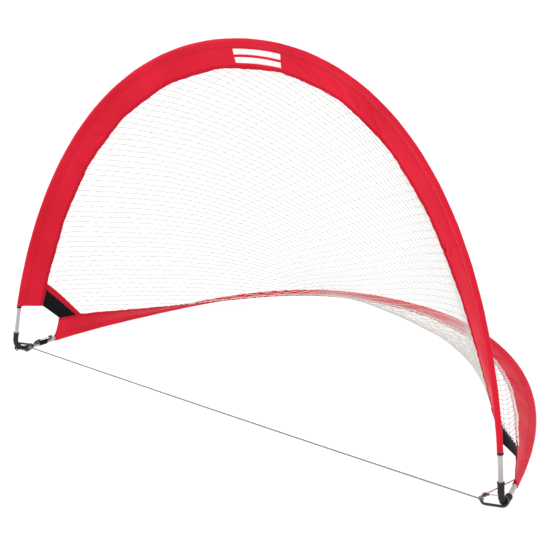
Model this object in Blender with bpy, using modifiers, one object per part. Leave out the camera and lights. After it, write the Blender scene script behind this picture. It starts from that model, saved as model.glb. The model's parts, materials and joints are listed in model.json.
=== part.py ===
"""Pop-up training goal: two sprung pole arches in fabric sleeves, hinged at two rubber elbows,
with a net bag between them and a ground cord across the mouth. Metres, +Z up, mouth facing -Y.
The origin is the middle of the footprint, on the floor."""

import math

import bmesh
import bpy
import numpy as np
from mathutils import Matrix, Vector

# Arches. Shapes are worked out with the corner line (the two pole feet) at y = 0.
MOUTH_WIDTH = 1.80
FRONT_HEIGHT = 1.10
FRONT_LEAN = math.radians(5.6)
FRONT_CREST_BACK = 0.055
FRONT_FULLNESS = 2.05
FRONT_PINCH = 0.032
REAR_DEPTH = 1.10
REAR_FULLNESS = 2.16
REAR_PINCH = 0.035
REAR_LIFT = 0.052
REAR_LIFT_START = 0.42
FOOT_CENTRE_Y = 0.5523

# Poles, in their sleeves and elbows.
POLE_R = 0.0065
POLE_WALL = 0.0020
ROD_R = 0.0034
FIT_GAP = 0.0004
ELBOW_R = 0.0090
ELBOW_BEND = 0.045
ELBOW_SOCKET = 0.022
SOCKET_FLOOR = 0.001
FLOOR_BLOCK = 0.1
POLE_Z = 0.0084
BORE_SIDES = 20

# Sleeves and soft trim.
CLOTH = 0.0008
CHANNEL_R = 0.0074
CHANNEL_STEPS = 8
STITCH_LINE = 0.016
BAND_WIDTH = 0.0725
TAPE_WIDTH = 0.0080
SEAM_GAP = 0.0003
NET_EDGE = 0.0840
FRONT_SLEEVE_Z = (0.178, 0.156)  # at the left end and at the right one
REAR_SLEEVE_Y = (0.165, 0.130)
PATCH_FRONT = 0.068
PATCH_REAR = 0.096
BINDING = 0.018
TRIM_GAP = 0.0015
PATCH_THICKNESS = 0.0012
NET_THICKNESS = 0.0016
NET_SAG = 0.172
NET_SAG_SPREAD = 0.35
NET_SAG_EASE = (0.20, 0.60)  # the net is pulled tight at the left, and hangs slack from here on
ARCH_SEGMENTS = 34
NET_ROWS = 8

# Stop rings on the front pole under the sleeve.
STOP_R = 0.0084
STOP_GAP = 0.0010
STOP_LENGTH = 0.006

# Snap clips.
CLIP_HALF_LENGTH = 0.034
CLIP_HALF_WIDTH = 0.0125
CLIP_WIRE = 0.0025
CLIP_TILT = (math.radians(-19), math.radians(1.5))  # left, right
GATE_R = 0.0019
GATE_START = -0.0160
GATE_END = 0.0150
GATE_GAP = 0.0008
TONGUE_THICKNESS = 0.0020
TONGUE_LENGTH = 0.0062
SLOT_WIDTH = 0.0028
PIN_R = 0.0007
PIN_BORE = 0.0010
PIN_LENGTH = 0.0046
STRAP_FROM_CORNER = 0.116
UPPER_CLIP_SHIFT = 0.006
STRAP_WIDTH = 0.030
STRAP_THICKNESS = 0.0010
STRAP_GAP = 0.0005
UPPER_CLIP_ANGLE = math.radians(45)

# Cords.
CORD_R = 0.0020
TIE_R = 0.0014
KNOT_RING_R = 0.0052
KNOT_WIRE = 0.0019
CORD_SAG = 0.003
BEAD_R = 0.0042


def clear_scene():
    for obj in list(bpy.data.objects):
        bpy.data.objects.remove(obj, do_unlink=True)


def new_collection(name):
    found = bpy.data.collections.get(name) or bpy.data.collections.new(name)
    if name not in bpy.context.scene.collection.children:
        bpy.context.scene.collection.children.link(found)
    return found


def material(name, colour, roughness, metallic=0.0):
    mat = bpy.data.materials.new(name)
    mat.use_nodes = True
    shader = mat.node_tree.nodes["Principled BSDF"]
    shader.inputs["Base Color"].default_value = (*colour, 1.0)
    shader.inputs["Roughness"].default_value = roughness
    shader.inputs["Metallic"].default_value = metallic
    return mat


def empty(name, location, parent=None):
    obj = bpy.data.objects.new(name, None)
    goal.objects.link(obj)
    obj.parent = parent
    obj.location = location
    return obj


def place(name, mesh, mat, parent, matrix_local=None):
    """Adds a mesh as a named piece. Its points stay in the corner frame, whatever it hangs from."""
    obj = bpy.data.objects.new(name, mesh)
    goal.objects.link(obj)
    obj.parent = parent
    if matrix_local is None:
        obj.location = offset_from(parent)
    else:
        obj.matrix_local = matrix_local
    mesh.materials.clear()
    mesh.materials.append(mat)
    return obj


def offset_from(parent):
    """The corner frame's origin, as the parent empty sees it."""
    total = Vector()
    while parent is not None and parent is not corner_frame:
        total -= parent.location
        parent = parent.parent
    return total


# ---------------------------------------------------------------- arch shapes


def arch_outline(t, height, fullness, pinch):
    """Half width and height of a rounded arch, a super-ellipse slightly pinched at mid height."""
    c, s = np.cos(t), np.sin(t)
    rise = np.abs(s) ** (2 / fullness)
    x = -MOUTH_WIDTH / 2 * np.sign(c) * np.abs(c) ** (2 / fullness)
    return x * (1 - pinch * 4 * rise * (1 - rise)), height * rise, rise


def front_curve(t):
    x, h, rise = arch_outline(t, FRONT_HEIGHT, FRONT_FULLNESS, FRONT_PINCH)
    y = h * math.sin(FRONT_LEAN) + FRONT_CREST_BACK * rise**2
    return np.stack([x, y, h * math.cos(FRONT_LEAN) + POLE_Z * (1 - rise)], 1)


def rear_curve(t):
    x, h, rise = arch_outline(t, REAR_DEPTH, REAR_FULLNESS, REAR_PINCH)
    lift = np.clip((rise - REAR_LIFT_START) / (1 - REAR_LIFT_START), 0, 1) ** 2
    return np.stack([x, h, POLE_Z + REAR_LIFT * lift], 1)


def along(points):
    steps = np.linalg.norm(np.diff(points, axis=0), axis=1)
    return np.concatenate([[0.0], np.cumsum(steps)])


def resample(points, places):
    """Points at the given distances along a path."""
    s = along(points)
    return np.stack([np.interp(places, s, points[:, k]) for k in range(3)], 1)


def unit(v):
    return v / np.linalg.norm(v, axis=-1, keepdims=True)


class Arch:
    """One pole's centre line with its stations, and the direction in which its band hangs."""

    def __init__(self, curve, trim_axis, sleeve_from, side_normal, tilt):
        dense = curve(np.linspace(0, math.pi, 4001))
        s = along(dense)
        half = len(dense) // 2
        first, last = np.interp(sleeve_from, dense[:half, trim_axis], s[:half])
        inner = np.linspace(first, s[-1] - last, ARCH_SEGMENTS + 1)
        self.sleeve = resample(dense, inner)
        tangent = unit(resample(dense, inner + 0.001) - resample(dense, inner - 0.001))
        inward = unit(np.cross(tangent, side_normal))
        if np.dot(inward[0], self.sleeve[ARCH_SEGMENTS // 2] - self.sleeve[0]) < 0:
            inward = -inward
        side = unit(np.cross(inward, tangent))
        side *= np.sign(side @ np.array(side_normal))[:, None]
        rise = self.sleeve[:, trim_axis] / self.sleeve[:, trim_axis].max()
        angle = np.radians(tilt(1 - rise))[:, None]
        self.band = np.cos(angle) * inward + np.sin(angle) * side
        self.face = np.cos(angle) * side - np.sin(angle) * inward

    def end_direction(self, side):
        """The way the bare pole runs from its corner point to its sleeve."""
        return (Vector(self.sleeve[0 if side < 0 else -1]) - corner_point(side)).normalized()

    def edge(self, distance, lift=0.0):
        """A line at a distance from the pole along the band, raised off its face."""
        return self.sleeve + distance * self.band + lift * self.face

    def trim_line(self, distance, first, count):
        """The band's edge without its first and last stretch, at even steps."""
        line = self.edge(distance)
        length = along(line)[-1]
        return resample(line, np.linspace(first, length - first, count))


def front_tilt(drop):
    return 24 - 26 * drop + 90 * drop**2


def rear_tilt(drop):
    return 7 + 10 * drop + 94 * drop**2


# ---------------------------------------------------------------- shapes


def tube_object(name, points, radius, resolution=2, caps=True):
    curve = bpy.data.curves.new(name, "CURVE")
    curve.dimensions = "3D"
    curve.bevel_depth = radius
    curve.bevel_resolution = resolution
    curve.use_fill_caps = caps
    curve.render_resolution_u = 0
    spline = curve.splines.new("POLY")
    spline.points.add(len(points) - 1)
    for point, target in zip(spline.points, points):
        point.co = (*[float(v) for v in target], 1.0)
    obj = bpy.data.objects.new(name + "_path", curve)
    guides.objects.link(obj)
    return obj


def tube_mesh(name, points, radius, resolution=2, caps=True):
    """A round tube along points, as a closed mesh (or open at both ends without caps)."""
    path = tube_object(name, points, radius, resolution, caps)
    bpy.context.view_layer.update()
    graph = bpy.context.evaluated_depsgraph_get()
    mesh = bpy.data.meshes.new_from_object(path.evaluated_get(graph))
    mesh.name = name
    bpy.data.objects.remove(path, do_unlink=True)
    shape = bmesh.new()
    shape.from_mesh(mesh)
    bmesh.ops.remove_doubles(shape, verts=shape.verts, dist=0.00001)
    shape.to_mesh(mesh)
    shape.free()
    smooth(mesh)
    return mesh


def smooth(mesh, angle=40):
    mesh.shade_smooth()
    mesh.set_sharp_from_angle(angle=math.radians(angle))


def sheet_mesh(name, rows):
    """An open sheet of quads through equal rows of points."""
    count = len(rows[0])
    points = [tuple(float(v) for v in p) for row in rows for p in row]
    faces = []
    for r in range(len(rows) - 1):
        for c in range(count - 1):
            a = r * count + c
            faces.append((a, a + 1, a + 1 + count, a + count))
    mesh = bpy.data.meshes.new(name)
    mesh.from_pydata(points, [], faces)
    mesh.update()
    smooth(mesh)
    return mesh


def thicken(obj, thickness, offset):
    solid = obj.modifiers.new("thickness", "SOLIDIFY")
    solid.thickness = thickness
    solid.offset = offset
    solid.use_even_offset = True
    return obj


def cutter(name, mesh, parent, location=(0, 0, 0), rotation=(0, 0, 0)):
    obj = bpy.data.objects.new(name, mesh)
    guides.objects.link(obj)
    obj.parent = parent
    obj.location = location
    obj.rotation_euler = rotation
    obj.hide_render = True
    obj.display_type = "WIRE"
    return obj


def box_mesh(name, size):
    shape = bmesh.new()
    bmesh.ops.create_cube(shape, size=1.0)
    bmesh.ops.scale(shape, vec=size, verts=shape.verts)
    mesh = bpy.data.meshes.new(name)
    shape.to_mesh(mesh)
    shape.free()
    return mesh


def rod_mesh(name, radius, length, sides=12):
    """A plain round rod along Z, centred on its origin."""
    shape = bmesh.new()
    bmesh.ops.create_cone(
        shape, cap_ends=True, segments=sides, radius1=radius, radius2=radius, depth=length
    )
    mesh = bpy.data.meshes.new(name)
    shape.to_mesh(mesh)
    shape.free()
    smooth(mesh)
    return mesh


def ring_mesh(name, ring_radius, wire_radius, steps=14, sides=8):
    """A torus about Z, from bmesh circles swept by a spin."""
    shape = bmesh.new()
    made = bmesh.ops.create_circle(shape, segments=sides, radius=wire_radius)
    for vert in made["verts"]:
        x, y = vert.co.x, vert.co.y
        vert.co = (ring_radius + x, 0.0, y)
    geometry = list(shape.verts) + list(shape.edges)
    bmesh.ops.spin(
        shape,
        geom=geometry,
        cent=(0, 0, 0),
        axis=(0, 0, 1),
        angle=2 * math.pi,
        steps=steps,
        use_merge=True,
        use_duplicate=False,
    )
    bmesh.ops.remove_doubles(shape, verts=shape.verts, dist=0.00001)
    bmesh.ops.recalc_face_normals(shape, faces=shape.faces)
    mesh = bpy.data.meshes.new(name)
    shape.to_mesh(mesh)
    shape.free()
    smooth(mesh, 80)
    return mesh


def cut(obj, tool, operation="DIFFERENCE"):
    boolean = obj.modifiers.new(operation.lower(), "BOOLEAN")
    boolean.operation = operation
    boolean.solver = "EXACT"
    boolean.object = tool


# ---------------------------------------------------------------- poles and elbows


def corner_point(side):
    """Where the two bare pole ends of one corner would meet."""
    return Vector((side * MOUTH_WIDTH / 2, 0, POLE_Z))


class Corner:
    """One elbow's centre line: a bend between the lines of the two bare pole ends."""

    def __init__(self, side):
        self.side = side
        self.point = corner_point(side)
        self.front = front_arch.end_direction(side)
        self.rear = rear_arch.end_direction(side)
        self.turn = math.pi - self.front.angle(self.rear)
        self.setback = ELBOW_BEND * math.tan(self.turn / 2)
        upward = (self.front - self.rear * self.front.dot(self.rear)).normalized()
        self.centre = self.point + self.rear * self.setback + upward * ELBOW_BEND
        self.upward = upward

    def path(self, steps=9):
        points = [self.point + self.rear * (self.setback + ELBOW_SOCKET)]
        for k in range(steps + 1):
            angle = self.turn * k / steps
            spoke = -self.upward * math.cos(angle) - self.rear * math.sin(angle)
            points.append(self.centre + spoke * ELBOW_BEND)
        points.append(self.point + self.front * (self.setback + ELBOW_SOCKET))
        return points

    def outwards(self):
        return (self.point - self.centre).normalized()

    def middle(self):
        return self.centre + self.outwards() * ELBOW_BEND

    def along_bend(self):
        return (self.rear - self.front).normalized()


def round_bore(name, parent, centre, direction, length):
    """A cutter that clears the pole all round."""
    radius = (POLE_R + FIT_GAP) / math.cos(math.pi / BORE_SIDES)
    tool = cutter(name, rod_mesh(name, radius, length, BORE_SIDES), parent, centre)
    tool.rotation_euler = direction.to_track_quat("Z", "Y").to_euler()
    return tool


def build_elbow(name, corner):
    elbow = place(name, tube_mesh(name, corner.path(), ELBOW_R, 3), rubber, corner_frame)
    reach = corner.setback + ELBOW_SOCKET + SOCKET_FLOOR
    for end, direction in (("front", corner.front), ("rear", corner.rear)):
        centre = corner.point + direction * reach
        cut(elbow, round_bore(name + "_" + end, corner_frame, centre, direction, 2 * ELBOW_SOCKET))
    floor_at = (corner.point.x, corner.centre.y, -FLOOR_BLOCK / 2)
    floor = box_mesh(name + "_floor", (FLOOR_BLOCK, 2 * FLOOR_BLOCK, FLOOR_BLOCK))
    cut(elbow, cutter(name + "_floor", floor, corner_frame, floor_at))


def pole_path(arch, kind):
    """The pole's centre line, from just inside one elbow's socket to the other's."""
    ends = []
    for corner in (left_corner, right_corner):
        direction = corner.front if kind == "front" else corner.rear
        ends.append(corner.point + direction * (corner.setback + 2 * SOCKET_FLOOR))
    return [ends[0], *[Vector(p) for p in arch.sleeve], ends[1]]


def build_pole(kind, arch, parent):
    path = pole_path(arch, kind)
    tube = tube_mesh(kind + "_pole", path, POLE_R, 2, caps=False)
    thicken(place(kind + "_pole", tube, pole_plastic, parent), POLE_WALL, -1)
    rod = tube_mesh(kind + "_rod", path[1:-1], ROD_R)
    place(kind + "_rod", rod, fibreglass, parent)


def build_stop(name, arch, corner, parent):
    """A short ring round the front pole, just below the sleeve's end."""
    end = Vector(arch.sleeve[0 if corner.side < 0 else -1])
    towards = -corner.front
    start = end + STOP_GAP * towards
    stop = start + STOP_LENGTH * towards
    ring = place(name, tube_mesh(name, [start, stop], STOP_R, 3), rubber, parent)
    middle = offset_from(parent) + (start + stop) / 2
    cut(ring, round_bore(name + "_hole", parent, middle, towards, 4 * STOP_LENGTH))


# ---------------------------------------------------------------- fabric and net


def sleeve_profile():
    """The sleeve's section as (band, face) distances: flat band, then a loop round the pole."""
    points = [(BAND_WIDTH, 0.0), (STITCH_LINE, 0.0)]
    first, last = math.radians(45), math.radians(315)
    for k in range(CHANNEL_STEPS):
        angle = first + (last - first) * k / (CHANNEL_STEPS - 1)
        points.append((CHANNEL_R * math.cos(angle), CHANNEL_R * math.sin(angle)))
    points.append((STITCH_LINE - 0.002, -2 * CLOTH))
    return points


def build_sleeve(prefix, arch, parent):
    rows = [arch.edge(b, f) for b, f in sleeve_profile()]
    mesh = sheet_mesh(prefix + "_sleeve", rows)
    sleeve = place(prefix + "_sleeve", mesh, red_cloth, parent)
    thicken(sleeve, CLOTH, outward_side(arch, rows))
    tape_from = BAND_WIDTH + SEAM_GAP
    tape_rows = [arch.edge(tape_from), arch.edge(tape_from + TAPE_WIDTH)]
    tape = sheet_mesh(prefix + "_net_tape", tape_rows)
    thicken(place(prefix + "_net_tape", tape, red_cloth, parent), CLOTH, 0)


def outward_side(arch, rows):
    """+1 if the sheet's face normals point away from the pole on the loop, otherwise -1."""
    mid = ARCH_SEGMENTS // 2
    k = len(rows) // 2
    a, b, c = rows[k][mid], rows[k][mid + 1], rows[k + 1][mid]
    normal = np.cross(b - a, c - a)
    return 1 if np.dot(normal, a - arch.sleeve[mid]) > 0 else -1


def corner_strip(name, side, first, last, mat):
    """A strip of cloth across one corner, from the front band's edge to the rear band's."""
    segments = 6
    rows = []
    for share in np.linspace(0, 1, 3):
        ends = []
        for arch, k in ((front_arch, 0), (rear_arch, 1)):
            line = arch.edge(NET_EDGE)
            if side > 0:
                line = line[::-1]
            place_on = first[k] + (last[k] - first[k]) * share
            ends.append(resample(line, np.array([place_on]))[0])
        rows.append([ends[0] + (ends[1] - ends[0]) * s for s in np.linspace(0, 1, segments + 1)])
    obj = place(name, sheet_mesh(name, rows), mat, corner_frame)
    return thicken(obj, PATCH_THICKNESS, 0)


def net_rows():
    """The net's surface from the rear band to the front band, sagging under its own weight."""
    skip_front = PATCH_FRONT + BINDING + 2 * TRIM_GAP
    skip_rear = PATCH_REAR + BINDING + 2 * TRIM_GAP
    front = front_arch.trim_line(NET_EDGE, skip_front, ARCH_SEGMENTS + 1)
    rear = rear_arch.trim_line(NET_EDGE, skip_rear, ARCH_SEGMENTS + 1)
    place_on = np.linspace(0, 1, ARCH_SEGMENTS + 1)
    start, full = NET_SAG_EASE
    ease = np.clip((place_on - start) / (full - start), 0, 1)
    spread = np.sin(place_on * math.pi) ** NET_SAG_SPREAD * ease**2 * (3 - 2 * ease)
    rows = []
    for s in np.linspace(0, 1, NET_ROWS + 1):
        row = rear + (front - rear) * s
        row[:, 2] -= NET_SAG * spread * 27 / 4 * s * (1 - s) ** 2
        rows.append(row)
    return rows


def build_soft_trim():
    for name, side in (("left", -1), ("right", 1)):
        patch_end = (PATCH_FRONT, PATCH_REAR)
        corner_strip(name + "_corner_patch", side, (0.0, 0.0), patch_end, black_cloth)
        start = tuple(v + TRIM_GAP for v in patch_end)
        end = tuple(v + BINDING for v in start)
        corner_strip(name + "_patch_binding", side, start, end, red_cloth)
    net = place("net", sheet_mesh("net", net_rows()), netting, corner_frame)
    thicken(net, NET_THICKNESS, 0)


# ---------------------------------------------------------------- clips


def clip_path():
    """A clip's wire: an oval along X, open on its +Y side where the gate closes it."""
    reach = CLIP_HALF_LENGTH - CLIP_HALF_WIDTH
    points = [(GATE_END + GATE_GAP, CLIP_HALF_WIDTH, 0)]
    for sign in (1, -1):
        for k in range(7):
            angle = sign * (math.pi / 2 - math.pi * k / 6)
            x = sign * (reach + CLIP_HALF_WIDTH * math.cos(angle))
            points.append((x, CLIP_HALF_WIDTH * math.sin(angle), 0))
    points.append((GATE_START - GATE_GAP - 0.0002, CLIP_HALF_WIDTH, 0))
    return points


def build_clip(name, frame_empty):
    """The clip's body, its gate and the gate's pin, in the clip's own frame."""
    pin_x = GATE_START - TONGUE_LENGTH / 2 - 0.0008
    body_mesh = tube_mesh(name + "_body", clip_path(), CLIP_WIRE)
    body = place(name + "_body", body_mesh, black_metal, frame_empty, Matrix())
    slot_x = GATE_START - TONGUE_LENGTH / 2 - 0.0014
    slot = box_mesh(name + "_slot", (TONGUE_LENGTH + 0.0022, 0.0064, SLOT_WIDTH))
    slot_at = (slot_x, CLIP_HALF_WIDTH, 0)
    cut(body, cutter(name + "_slot", slot, frame_empty, slot_at))
    hole = rod_mesh(name + "_hole", PIN_BORE, 0.012, 10)
    pin_at = (pin_x, CLIP_HALF_WIDTH, 0)
    hole_tool = cutter(name + "_hole", hole, frame_empty, pin_at)
    cut(body, hole_tool)

    hinge = empty(name + "_gate_hinge", pin_at, frame_empty)
    gate_points = [(GATE_START - pin_x, 0, 0), (GATE_END - pin_x, 0, 0)]
    gate_mesh = tube_mesh(name + "_gate", gate_points, GATE_R)
    gate = place(name + "_gate", gate_mesh, steel, hinge, Matrix())
    tongue = box_mesh(name + "_tongue", (TONGUE_LENGTH, 0.0030, TONGUE_THICKNESS))
    tongue_at = (TONGUE_LENGTH / 2 - 0.0020, 0, 0)
    cut(gate, cutter(name + "_tongue", tongue, hinge, tongue_at), "UNION")
    cut(gate, hole_tool)
    pin_mesh = rod_mesh(name + "_gate_pin", PIN_R, PIN_LENGTH, 10)
    place(name + "_gate_pin", pin_mesh, steel, frame_empty, Matrix.Translation(pin_at))


def lower_clip_frame(name, corner):
    """A clip hooked round an elbow's bend, its far end towards the mouth's middle."""
    outwards = corner.outwards()
    normal = corner.along_bend()
    inwards = outwards.cross(normal).normalized()
    if inwards.x * corner.side > 0:
        inwards = -inwards
    tilt = CLIP_TILT[0 if corner.side < 0 else 1]
    long_axis = inwards * math.cos(tilt) + outwards * math.sin(tilt)
    frame = empty(name + "_frame", (0, 0, 0), corner_frame)
    frame.matrix_local = axes_matrix(long_axis, normal.cross(long_axis), normal)
    frame.location = corner.middle() + long_axis * (CLIP_HALF_LENGTH - CLIP_HALF_WIDTH)
    return frame


def axes_matrix(x_axis, y_axis, z_axis):
    rows = [(x_axis[k], y_axis[k], z_axis[k]) for k in range(3)]
    return Matrix(rows).to_4x4()


def clip_point(frame, local):
    """A point of a clip's own frame, in the corner frame."""
    return frame.matrix_local @ Vector(local)


# ---------------------------------------------------------------- upper clip and strap


def strap_rows():
    """The strap's two edges: each runs round the rear pole and the clip's spine beside it."""
    pole_r = POLE_R + STRAP_GAP
    spine_r = CLIP_WIRE + STRAP_GAP
    wrap = math.acos((pole_r - spine_r) / SPINE_OFFSET)
    section = []
    for k in range(11):
        angle = UPPER_CLIP_ANGLE + wrap + (2 * math.pi - 2 * wrap) * k / 10
        section.append((pole_r * math.cos(angle), pole_r * math.sin(angle)))
    spine_x = SPINE_OFFSET * math.cos(UPPER_CLIP_ANGLE)
    spine_z = SPINE_OFFSET * math.sin(UPPER_CLIP_ANGLE)
    for k in range(5):
        angle = UPPER_CLIP_ANGLE - wrap + 2 * wrap * k / 4
        section.append((spine_x + spine_r * math.cos(angle), spine_z + spine_r * math.sin(angle)))
    section.append(section[0])
    ends = (-STRAP_WIDTH / 2, STRAP_WIDTH / 2)
    return [[(x, y, z) for x, z in section] for y in ends]


def build_upper_clip():
    """The left corner's second clip, held along the rear pole by a webbing strap."""
    swing = empty("left_upper_clip_swing", (0, 0, 0), corner_frame)
    inwards = left_corner.rear.cross(Vector((0, 0, 1)))
    swing.matrix_local = axes_matrix(inwards, left_corner.rear, Vector((0, 0, 1)))
    swing.location = left_corner.point + left_corner.rear * STRAP_FROM_CORNER
    mesh = sheet_mesh("left_keeper_strap", strap_rows())
    shape = bmesh.new()
    shape.from_mesh(mesh)
    bmesh.ops.remove_doubles(shape, verts=shape.verts, dist=0.00001)
    bmesh.ops.recalc_face_normals(shape, faces=shape.faces)
    shape.to_mesh(mesh)
    shape.free()
    strap = place("left_keeper_strap", mesh, black_cloth, swing, Matrix())
    thicken(strap, STRAP_THICKNESS, 1)
    out = Vector((math.cos(UPPER_CLIP_ANGLE), 0, math.sin(UPPER_CLIP_ANGLE)))
    long_axis = Vector((0, -1, 0))
    frame = empty("left_upper_clip_frame", (0, 0, 0), swing)
    frame.matrix_local = axes_matrix(long_axis, out, long_axis.cross(out))
    centre = out * (SPINE_OFFSET + CLIP_HALF_WIDTH)
    frame.location = centre - Vector((0, UPPER_CLIP_SHIFT, 0))
    build_clip("left_upper_clip", frame)


# ---------------------------------------------------------------- cords


def knot(name, frame, local, bar_direction, mat):
    """A cord's end loop round a clip's wire."""
    axis = (frame.matrix_local.to_3x3() @ Vector(bar_direction)).normalized()
    at = clip_point(frame, local)
    turn = axis.to_track_quat("Z", "Y").to_matrix().to_4x4()
    mesh = ring_mesh(name, KNOT_RING_R, KNOT_WIRE)
    place(name, mesh, mat, corner_frame, Matrix.Translation(at) @ turn)
    return at


def build_ground_cord(left_frame, right_frame):
    """The cord across the mouth, from clip to clip, with a small sag."""
    ends = []
    for name, frame in (("left", left_frame), ("right", right_frame)):
        tip = (CLIP_HALF_LENGTH, 0, 0)
        at = knot(name + "_cord_loop", frame, tip, (0, 1, 0), grey_cord)
        long_axis = (frame.matrix_local.to_3x3() @ Vector((1, 0, 0))).normalized()
        ends.append(at + long_axis * (KNOT_RING_R + KNOT_WIRE + SEAM_GAP))
    points = []
    count = 29
    for k in range(count):
        share = k / (count - 1)
        point = ends[0].lerp(ends[1], share)
        point.z -= CORD_SAG * 4 * share * (1 - share)
        points.append(point)
    place("ground_cord", tube_mesh("ground_cord", points, CORD_R), grey_cord, corner_frame)


def build_tie(right_frame):
    """The rear sleeve's draw cord, tied to the right clip, with its cord stop."""
    angle = math.radians(62)
    reach = CLIP_HALF_LENGTH - CLIP_HALF_WIDTH
    local = (reach + CLIP_HALF_WIDTH * math.cos(angle), CLIP_HALF_WIDTH * math.sin(angle), 0)
    bar = (-math.sin(angle), math.cos(angle), 0)
    start = knot("tie_cord_loop", right_frame, local, bar, red_cloth)
    hem = Vector(rear_arch.edge(0.020)[-1])
    towards = (hem - start).normalized()
    first = start + towards * (KNOT_RING_R + KNOT_WIRE + SEAM_GAP)
    last = hem - towards * 0.0016
    points = [first.lerp(last, k / 15) for k in range(16)]
    place("tie_cord", tube_mesh("tie_cord", points, TIE_R), red_cloth, corner_frame)
    bead_from = first + towards * 0.0015
    bead_points = [bead_from, bead_from + towards * 2 * BEAD_R]
    bead = place("tie_cord_bead", tube_mesh("tie_cord_bead", bead_points, BEAD_R, 3),
                 pole_plastic, corner_frame)
    bore = rod_mesh("tie_cord_bead_bore", TIE_R + FIT_GAP + 0.0002, 6 * BEAD_R, BORE_SIDES)
    tool = cutter("tie_cord_bead_bore", bore, corner_frame, (bead_points[0] + bead_points[1]) / 2)
    tool.rotation_euler = towards.to_track_quat("Z", "Y").to_euler()
    cut(bead, tool)


# ---------------------------------------------------------------- the goal

SPINE_OFFSET = POLE_R + CLIP_WIRE + 2 * STRAP_GAP

clear_scene()
goal = new_collection("pop_up_goal")
guides = new_collection("guides")

red_cloth = material("red_cloth", (0.72, 0.02, 0.05), 0.65)
black_cloth = material("black_cloth", (0.015, 0.016, 0.018), 0.8)
netting = material("netting", (0.86, 0.86, 0.84), 0.7)
pole_plastic = material("pole_plastic", (0.62, 0.60, 0.58), 0.45)
fibreglass = material("fibreglass", (0.75, 0.72, 0.60), 0.4)
rubber = material("rubber", (0.025, 0.022, 0.022), 0.7)
black_metal = material("black_metal", (0.02, 0.02, 0.02), 0.35, 0.8)
steel = material("steel", (0.60, 0.60, 0.60), 0.3, 1.0)
grey_cord = material("grey_cord", (0.30, 0.29, 0.28), 0.8)

front_side = (0.0, math.cos(FRONT_LEAN), -math.sin(FRONT_LEAN))
front_arch = Arch(front_curve, 2, FRONT_SLEEVE_Z, front_side, front_tilt)
rear_arch = Arch(rear_curve, 1, REAR_SLEEVE_Y, (0.0, 0.0, 1.0), rear_tilt)
left_corner, right_corner = Corner(-1), Corner(1)

corner_frame = empty("corner_frame", (0, -FOOT_CENTRE_Y, 0))
front_hinge = empty("front_hinge", (0, left_corner.centre.y, left_corner.centre.z), corner_frame)

build_pole("front", front_arch, front_hinge)
build_pole("rear", rear_arch, corner_frame)
build_elbow("left_elbow", left_corner)
build_elbow("right_elbow", right_corner)
build_sleeve("front", front_arch, front_hinge)
build_sleeve("rear", rear_arch, corner_frame)
build_stop("front_left_stop", front_arch, left_corner, front_hinge)
build_stop("front_right_stop", front_arch, right_corner, front_hinge)
build_soft_trim()

left_clip = lower_clip_frame("left_lower_clip", left_corner)
right_clip = lower_clip_frame("right_clip", right_corner)
build_clip("left_lower_clip", left_clip)
build_clip("right_clip", right_clip)
build_upper_clip()
build_ground_cord(left_clip, right_clip)
build_tie(right_clip)
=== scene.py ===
"""The looks of a pop-up practice goal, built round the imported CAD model. Metres, +Z up.
The shapes of the arches and corners follow the same driving dimensions as the CAD source."""

import json
import random
from math import acos, cos, pi, radians, sin, sqrt, tan

import bpy
import numpy as np
from mathutils import Matrix, Vector


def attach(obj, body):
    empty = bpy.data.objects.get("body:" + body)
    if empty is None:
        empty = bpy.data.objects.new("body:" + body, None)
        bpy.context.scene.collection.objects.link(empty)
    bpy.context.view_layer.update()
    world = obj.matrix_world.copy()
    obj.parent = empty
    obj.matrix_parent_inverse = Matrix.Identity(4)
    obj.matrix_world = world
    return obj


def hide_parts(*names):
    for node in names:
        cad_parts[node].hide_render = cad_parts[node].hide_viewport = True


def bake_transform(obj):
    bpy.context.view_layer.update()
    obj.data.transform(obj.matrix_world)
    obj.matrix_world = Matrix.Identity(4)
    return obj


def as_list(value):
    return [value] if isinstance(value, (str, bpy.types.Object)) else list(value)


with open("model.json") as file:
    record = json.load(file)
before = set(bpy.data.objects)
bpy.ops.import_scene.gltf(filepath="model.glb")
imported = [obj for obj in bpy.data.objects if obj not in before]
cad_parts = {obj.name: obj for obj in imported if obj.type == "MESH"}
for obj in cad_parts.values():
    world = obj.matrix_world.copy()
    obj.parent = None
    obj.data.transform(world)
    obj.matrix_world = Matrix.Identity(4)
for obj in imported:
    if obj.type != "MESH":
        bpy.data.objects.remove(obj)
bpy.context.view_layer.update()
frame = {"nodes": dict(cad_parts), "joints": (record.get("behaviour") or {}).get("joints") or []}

# Arches, as in the CAD source. Shapes are worked out with the corner line at y = 0.
MOUTH_WIDTH = 1.80
FRONT_HEIGHT = 1.10
FRONT_LEAN = radians(5.6)
FRONT_CREST_BACK = 0.055
FRONT_FULLNESS = 2.05
FRONT_PINCH = 0.032
REAR_DEPTH = 1.10
REAR_FULLNESS = 2.16
REAR_PINCH = 0.035
REAR_LIFT = 0.052
REAR_LIFT_START = 0.42
FOOT_CENTRE_Y = 0.5523
POLE_Z = 0.0084
POLE_R = 0.0065
POLE_WALL = 0.0020
FRONT_SLEEVE_Z = (0.178, 0.156)  # at the left end and at the right one
REAR_SLEEVE_Y = (0.165, 0.130)
ARCH_SAMPLES = 8001
ARCH_PLACES = 901
ARCH_STEP = 0.004
POLE_RINGS = 420
POLE_SIDES = 24

# Elbows.
ELBOW_BEND = 0.045
ELBOW_SOCKET = 0.022
ELBOW_R = 0.0089
ELBOW_RIM_R = 0.0099
ELBOW_RIM_TO = 0.0056
ELBOW_BORE_R = 0.0068
ELBOW_RIBS = 5

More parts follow.
